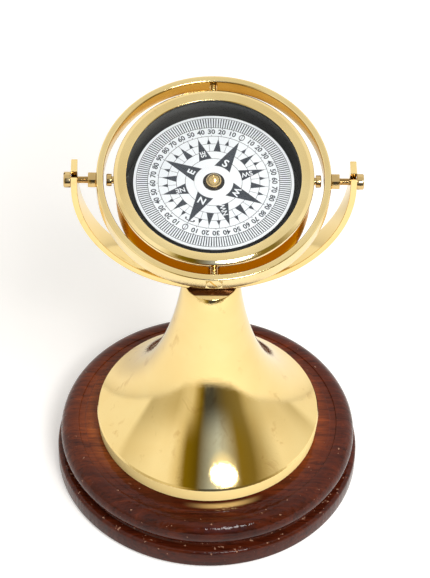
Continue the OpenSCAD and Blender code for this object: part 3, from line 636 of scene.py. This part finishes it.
def on_card(share, degrees):
    """A point of the card, by its share of the radius and its bearing clockwise from north."""
    a = math.radians(90 - degrees)
    return Vector((share * CARD_R * MM * math.cos(a), share * CARD_R * MM * math.sin(a), 0))


def inked(bm, points, high=INK):
    """A flat shape of ink with the given outline."""
    pull_out(bm, [bm.faces.new([bm.verts.new(p) for p in points])], (0, 0, high * MM))


def stamped(bm, part, place=None):
    """Adds a part to the print and uses it up."""
    mesh = part
    if isinstance(part, bmesh.types.BMesh):
        mesh = bpy.data.meshes.new("stamp")
        part.to_mesh(mesh)
        part.free()
    if place is not None:
        mesh.transform(place)
    bm.from_mesh(mesh)
    bpy.data.meshes.remove(mesh)


def inked_circle(bm, radius, width, steps=144, place=None):
    """A printed circle, in mm."""
    low, high = radius - width / 2, radius + width / 2
    stamped(bm, turned([(low, 0, 0), (high, 0, 0), (high, INK, 0), (low, INK, 0)], steps=steps), place)


def inked_bar(bm, low, high, bearing, half_low, half_high=None):
    """A printed bar along a bearing, between two shares of the radius, by its half widths in degrees."""
    half_high = half_low if half_high is None else half_high
    inked(bm, [on_card(low, bearing - half_low), on_card(low, bearing + half_low),
               on_card(high, bearing + half_high), on_card(high, bearing - half_high)])


bm = bmesh.new()
for tick in range(0, 360, 2):
    inked_bar(bm, 0.822, 0.955, tick, 0.42)
for tick in range(0, 360, 10):
    inked_bar(bm, 0.69, 0.712, tick, 0.22)
    inked_bar(bm, 0.796, 0.822, tick, 0.22)
# the rose's points: share of the radius at the foot, half width in degrees, share at the tip
LONG, SHORT = (0.238, 27.5, 0.685), (0.353, 13.2, 0.665)
SMALL, SMALLEST = (0.464, 5.7, 0.655), (0.574, 2.6, 0.65)
for point in range(32):
    bearing = point * 11.25
    inked_bar(bm, 0.46, 0.69, bearing, 0.25, 0.17)
    foot, half, tip = (LONG if point % 8 == 0 else SHORT if point % 8 == 4 else
                       SMALL if point % 4 == 2 else SMALLEST)
    round_foot = [on_card(foot, bearing + t * half) for t in (-1, -0.6, -0.2, 0.2, 0.6, 1)]
    inked(bm, round_foot + [on_card(tip, bearing)], high=INK * 1.3)
for share, width in ((0.962, 0.24), (0.82, 0.24), (0.69, 0.22), (0.574, 0.2), (0.464, 0.2), (0.353, 0.2)):
    inked_circle(bm, share * CARD_R, width)


def lettered(bm, text, size, place, height, bold=0.0):
    """Type of the given height in mm, centred and laid flat on the card."""
    curve = bpy.data.curves.new("type", "FONT")
    curve.body = text
    curve.size = size * MM / 0.72
    curve.align_x = "CENTER"
    curve.align_y = "CENTER"
    curve.resolution_u = 3
    curve.extrude = INK * MM * 0.5
    curve.offset = bold * MM
    holder = bpy.data.objects.new("type", curve)
    scene.collection.objects.link(holder)
    bpy.context.view_layer.update()
    mesh = bpy.data.meshes.new_from_object(holder.evaluated_get(bpy.context.evaluated_depsgraph_get()))
    bpy.data.objects.remove(holder)
    bpy.data.curves.remove(curve)
    stamped(bm, mesh, place @ Matrix.Translation((0, 0, height * MM)))


def type_place(share, bearing, turn=0):
    """Where type stands upright, with its head towards the card's edge, or turned from that."""
    return Matrix.Translation(on_card(share, bearing)) @ Matrix.Rotation(math.radians(-bearing + turn), 4, "Z")


NUMBERS_AT = 0.755
for degree in range(0, 360, 10):
    count = degree % 180
    count = count if count <= 90 else 180 - count
    if count:
        lettered(bm, str(count), 2.55, type_place(NUMBERS_AT, degree), INK / 2, 0.1)
    else:
        tall = type_place(NUMBERS_AT, degree) @ Matrix.Diagonal((1, 1.25, 1, 1))
        inked_circle(bm, 1.2, 0.36, 32, tall)
        inked_bar(bm, 0.70, 0.81, degree, 0.22, 0.19)
for turn in (-1, 1):
    # the two small curls beside north's point
    inked_circle(bm, 0.24, 0.4, 16, Matrix.Translation(on_card(0.63, turn * 5.2)))
    inked(bm, [on_card(0.647, turn * 0.8), on_card(0.66, turn * 0.8), on_card(0.651, turn * 5.6),
               on_card(0.64, turn * 5.2)][::turn])
bmesh.ops.recalc_face_normals(bm, faces=bm.faces)
assemble(bm, "card_print", "card", slate_ink, place=PRINT)

bm = bmesh.new()
for word, bearing, size in (("N", 0, 3.5), ("E", 90, 3.5), ("S", 180, 4.1), ("W", 270, 3.2)):
    lettered(bm, word, size, type_place(0.312, bearing), INK * 1.6, 0.13)
for word, bearing, turn in (("NE", 45, 90), ("SE", 135, 90), ("SW", 225, -90), ("NW", 315, -90)):
    lettered(bm, word, 2.6, type_place(0.432, bearing, turn), INK * 1.6, 0.06)
assemble(bm, "card_letters", "card", white_card, place=PRINT)

# Cap, hub and magnets. A small brass dome with a dimple holds the jewel that rests on
# the needle. It sits on a blackened ring and a plain white washer that clamp the card,
# and two bar magnets are glued underneath.
HUB_R, HUB_TOP, CAP_R, CAP_H = 5.1, -0.85, 3.75, 3.9
WASHER_R, WASHER_TOP = 9.15, CARD_TOP + 0.3
washer_line = [(HUB_R, CARD_TOP, 0), (WASHER_R, CARD_TOP, 0), (WASHER_R, WASHER_TOP, 0.2),
               (HUB_R, WASHER_TOP, 0)]
assemble(turned(washer_line, steps=96), "card_washer", "card", white_card, place=FLOATED)
dome_r = (CAP_R ** 2 + CAP_H ** 2) / (2 * CAP_H)
dome_z = HUB_TOP + CAP_H - dome_r
dome = [(dome_r * math.cos(math.radians(a)), dome_z + dome_r * math.sin(math.radians(a)), 0)
        for a in (0, 8, 16, 24, 32, 40, 48, 55, 62, 68, 73)]
cap_line = [(POST_HOLE_R, HUB_TOP, 0), (CAP_R, HUB_TOP, 0.1)] + dome + [
    (0.95, dome[-1][1] + 0.1, 0.1), (0.75, 2.72, 0.1), (0, 2.62, 0), (0, 0.95, 0), (POST_HOLE_R, 0.95, 0)]
assemble(turned(cap_line, steps=64), "cap_dome", "card", bolt_brass, ["card_cap"], place=FLOATED)
blackened, tree, shader = finish("blackened_brass", Metallic=0.6)
marks = laid_on(tree, handling, Low=0.3, High=0.5)
fed(shader, Roughness=marks["Roughness"],
    Base_Color=coloured(tree, marks["Stain"], [(0.0, (0.02, 0.017, 0.015)), (1.0, (0.07, 0.04, 0.02))]))
hub_line = [(POST_HOLE_R, CARD_TOP, 0), (HUB_R, CARD_TOP, 0), (HUB_R, HUB_TOP, 0.08), (POST_HOLE_R, HUB_TOP, 0)]
assemble(turned(hub_line, steps=64), "hub_ring", "card", blackened, ["card_hub"], place=FLOATED)
jewel, tree, shader = finish("ruby", Roughness=0.05, IOR=1.76, Transmission_Weight=0.6)
fed(shader, Base_Color=coloured(tree, grained(tree, (900, 900, 900)), [
    (0.3, (0.45, 0.02, 0.06)), (0.7, (0.55, 0.04, 0.1))]))
dress("jewel_cup", jewel)
dress("magnets", steel)

# Floor. A white table that ends in front of the compass, out of the picture. It stays
# white for the camera and still takes the shadow.
TABLE_R, TABLE_FRONT, TABLE_SIDE, TABLE_BACK = 0.67, -0.25, 2.5, 3
table_edge = [(TABLE_R * math.cos(math.radians(a)), TABLE_R * math.sin(math.radians(a)))
              for a in range(228, 313, 6)] + [(TABLE_SIDE, TABLE_FRONT), (TABLE_SIDE, TABLE_BACK),
                                              (-TABLE_SIDE, TABLE_BACK), (-TABLE_SIDE, TABLE_FRONT)]
bm = bmesh.new()
bm.faces.new([bm.verts.new((x, y, 0)) for x, y in table_edge])
mesh = bpy.data.meshes.new("floor")
bm.to_mesh(mesh)
bm.free()
floor = bpy.data.objects.new("floor", mesh)
floor.location.z = -0.0002
scene.collection.objects.link(floor)
FLOOR_LIFT, MIRRORED_LIFT = 0.42, 0.27
floor_white, tree, shader = finish("floor_white", Base_Color=(0.8, 0.785, 0.76), Roughness=0.9,
                                   Specular_IOR_Level=0.1, Emission_Color=(1.0, 0.995, 0.985))
path = wired(tree, "LightPath").outputs
seen = maths(tree, "MAXIMUM", path["Is Camera Ray"], path["Is Transmission Ray"])
mirrored = maths(tree, "MULTIPLY", path["Is Glossy Ray"], MIRRORED_LIFT)
fed(shader, Emission_Strength=maths(tree, "MULTIPLY_ADD", seen, FLOOR_LIFT, mirrored))
mesh.materials.append(floor_white)

# Light. A white studio: pale behind and at the sides, and darker towards the camera. One
# wide lamp stands high on the right, with a soft panel above it. Only brass, varnish
# and glass see this room; everything else gets an even fill.
world = bpy.data.worlds.new("studio")
scene.world = world
world.use_nodes = True
tree = world.node_tree
direction = wired(tree, "TexCoord").outputs["Generated"]
apart = split(tree, direction)
azimuth = maths(tree, "ARCTAN2", apart["X"], maths(tree, "MULTIPLY", apart["Y"], -1.0))
turn = maths(tree, "MULTIPLY_ADD", azimuth, 1 / (2 * math.pi), 0.5)


def round_the_room(stops):
    """Colour by azimuth, 0 towards the camera, from stops of (degrees, brightness, warmth)."""
    return coloured(tree, turn, [((degrees + 180) / 360, (
        v, v * (0.985 - 0.16 * warmth), v * (0.95 - 0.57 * warmth))) for degrees, v, warmth in stops])


low_room = round_the_room([
    (-97, 1.0, 0), (-91, 0.58, 0.3), (-74, 0.64, 0.3), (-52, 0.60, 0.5), (-38, 0.78, 0.3), (-28, 0.78, 0.4),
    (-20, 0.45, 1), (-13, 0.20, 1.6), (-5, 0.06, -0.6), (6, 0.06, -0.6), (30, 0.17, 1.1), (50, 0.24, 1.1),
    (62, 0.55, 0.6), (84, 0.80, 0.2), (104, 0.84, 0.1), (117, 0.66, 0.3), (123, 1.0, 0)])
high_room = round_the_room([
    (-97, 1.0, 0), (-91, 0.80, 0.2), (-60, 1.04, 0), (-45, 1.04, 0), (-36, 0.82, 0.4), (-27, 0.22, 1.6),
    (-13, 0.12, 1.6), (-3, 0.30, -1.0), (13, 0.60, -1.6), (26, 0.48, -0.4), (38, 0.24, 1.5), (52, 0.22, 1.3),
    (64, 0.50, 0.6), (82, 1.02, 0), (117, 0.9, 0.1), (123, 1.0, 0)])
room = mixed(tree, spread(tree, apart["Z"], 0.04, 0.5), low_room, high_room)
room = mixed(tree, spread(tree, apart["Z"], 0.82, 0.95), room, (0.80, 0.78, 0.72, 1))
# the soft glow round the flash
FLASH_WAY = (0.222, -0.684, 0.695)
glow = spread(tree, vectors(tree, "DOT_PRODUCT", direction, FLASH_WAY), 0.972, 0.999)
room = mixed(tree, glow, room, (1.0, 1.0, 0.97, 1))
# brass mirrored in brass or in varnish shows a darker room
path = wired(tree, "LightPath").outputs
again = spread(tree, path["Glossy Depth"], 1.0, 2.0, 0.0, 0.6)
room = mixed(tree, again, room, (0, 0, 0, 1))
fill = mixed(tree, spread(tree, apart["X"], -0.6, 0.9), (0.38, 0.36, 0.33, 1), (0.64, 0.635, 0.62, 1))
lit = mixed(tree, path["Is Glossy Ray"], fill, room)
plain = maths(tree, "MAXIMUM", path["Is Camera Ray"], path["Is Transmission Ray"])
background = tree.nodes["Background"]
tree.links.new(mixed(tree, plain, lit, (1, 1, 1, 1)), background.inputs["Color"])
background.inputs["Strength"].default_value = 1.0


LAMPS_AIM_Z = 0.1


def lamp(name, azimuth, elevation, distance, width, height, power, glossy=True):
    """An area lamp that points at the compass, placed in degrees and metres, with its power in watts."""
    a, e = math.radians(azimuth), math.radians(elevation)
    out = Vector((math.sin(a) * math.cos(e), -math.cos(a) * math.cos(e), math.sin(e)))
    light = bpy.data.lights.new(name, "AREA")
    light.shape = "ELLIPSE"
    light.size, light.size_y = width, height
    light.energy = power
    holder = bpy.data.objects.new(name, light)
    holder.location = Vector((0, 0, LAMPS_AIM_Z)) + out * distance
    holder.rotation_mode = "QUATERNION"
    holder.rotation_quaternion = out.to_track_quat("Z", "Y")
    holder.visible_camera = False
    holder.visible_glossy = glossy
    scene.collection.objects.link(holder)


lamp("flash", 18, 44, 1.6, 0.56, 0.26, 8.7)
lamp("panel", 35, 55, 1.8, 0.8, 0.8, 16, glossy=False)

# Camera. A long lens, about a metre and a half away, looking down at 45 degrees.
ELEVATION, DISTANCE, ROLL, YAW = math.radians(45.378), 1.4544, math.radians(1.559), math.radians(1.63)
AIM_ACROSS, AIM_Z = 0.00196, 0.12032
right = Vector((math.cos(YAW), -math.sin(YAW), 0))
ahead = Vector((math.sin(YAW), math.cos(YAW), 0))
look = ahead * math.cos(ELEVATION) - Vector((0, 0, math.sin(ELEVATION)))
up = ahead * math.sin(ELEVATION) + Vector((0, 0, math.cos(ELEVATION)))
rolled_right = right * math.cos(ROLL) + up * math.sin(ROLL)
rolled_up = up * math.cos(ROLL) - right * math.sin(ROLL)
lens = bpy.data.cameras.new("camera")
lens.lens = 186.15
lens.sensor_width = 36
lens.clip_end = 20
camera = bpy.data.objects.new("camera", lens)
camera.matrix_world = Matrix((
    (rolled_right.x, rolled_up.x, -look.x, 0),
    (rolled_right.y, rolled_up.y, -look.y, 0),
    (rolled_right.z, rolled_up.z, -look.z, 0),
    (0, 0, 0, 1)))
camera.location = right * AIM_ACROSS + Vector((0, 0, AIM_Z)) - look * DISTANCE
scene.collection.objects.link(camera)
scene.camera = camera
scene.view_settings.view_transform = "Standard"
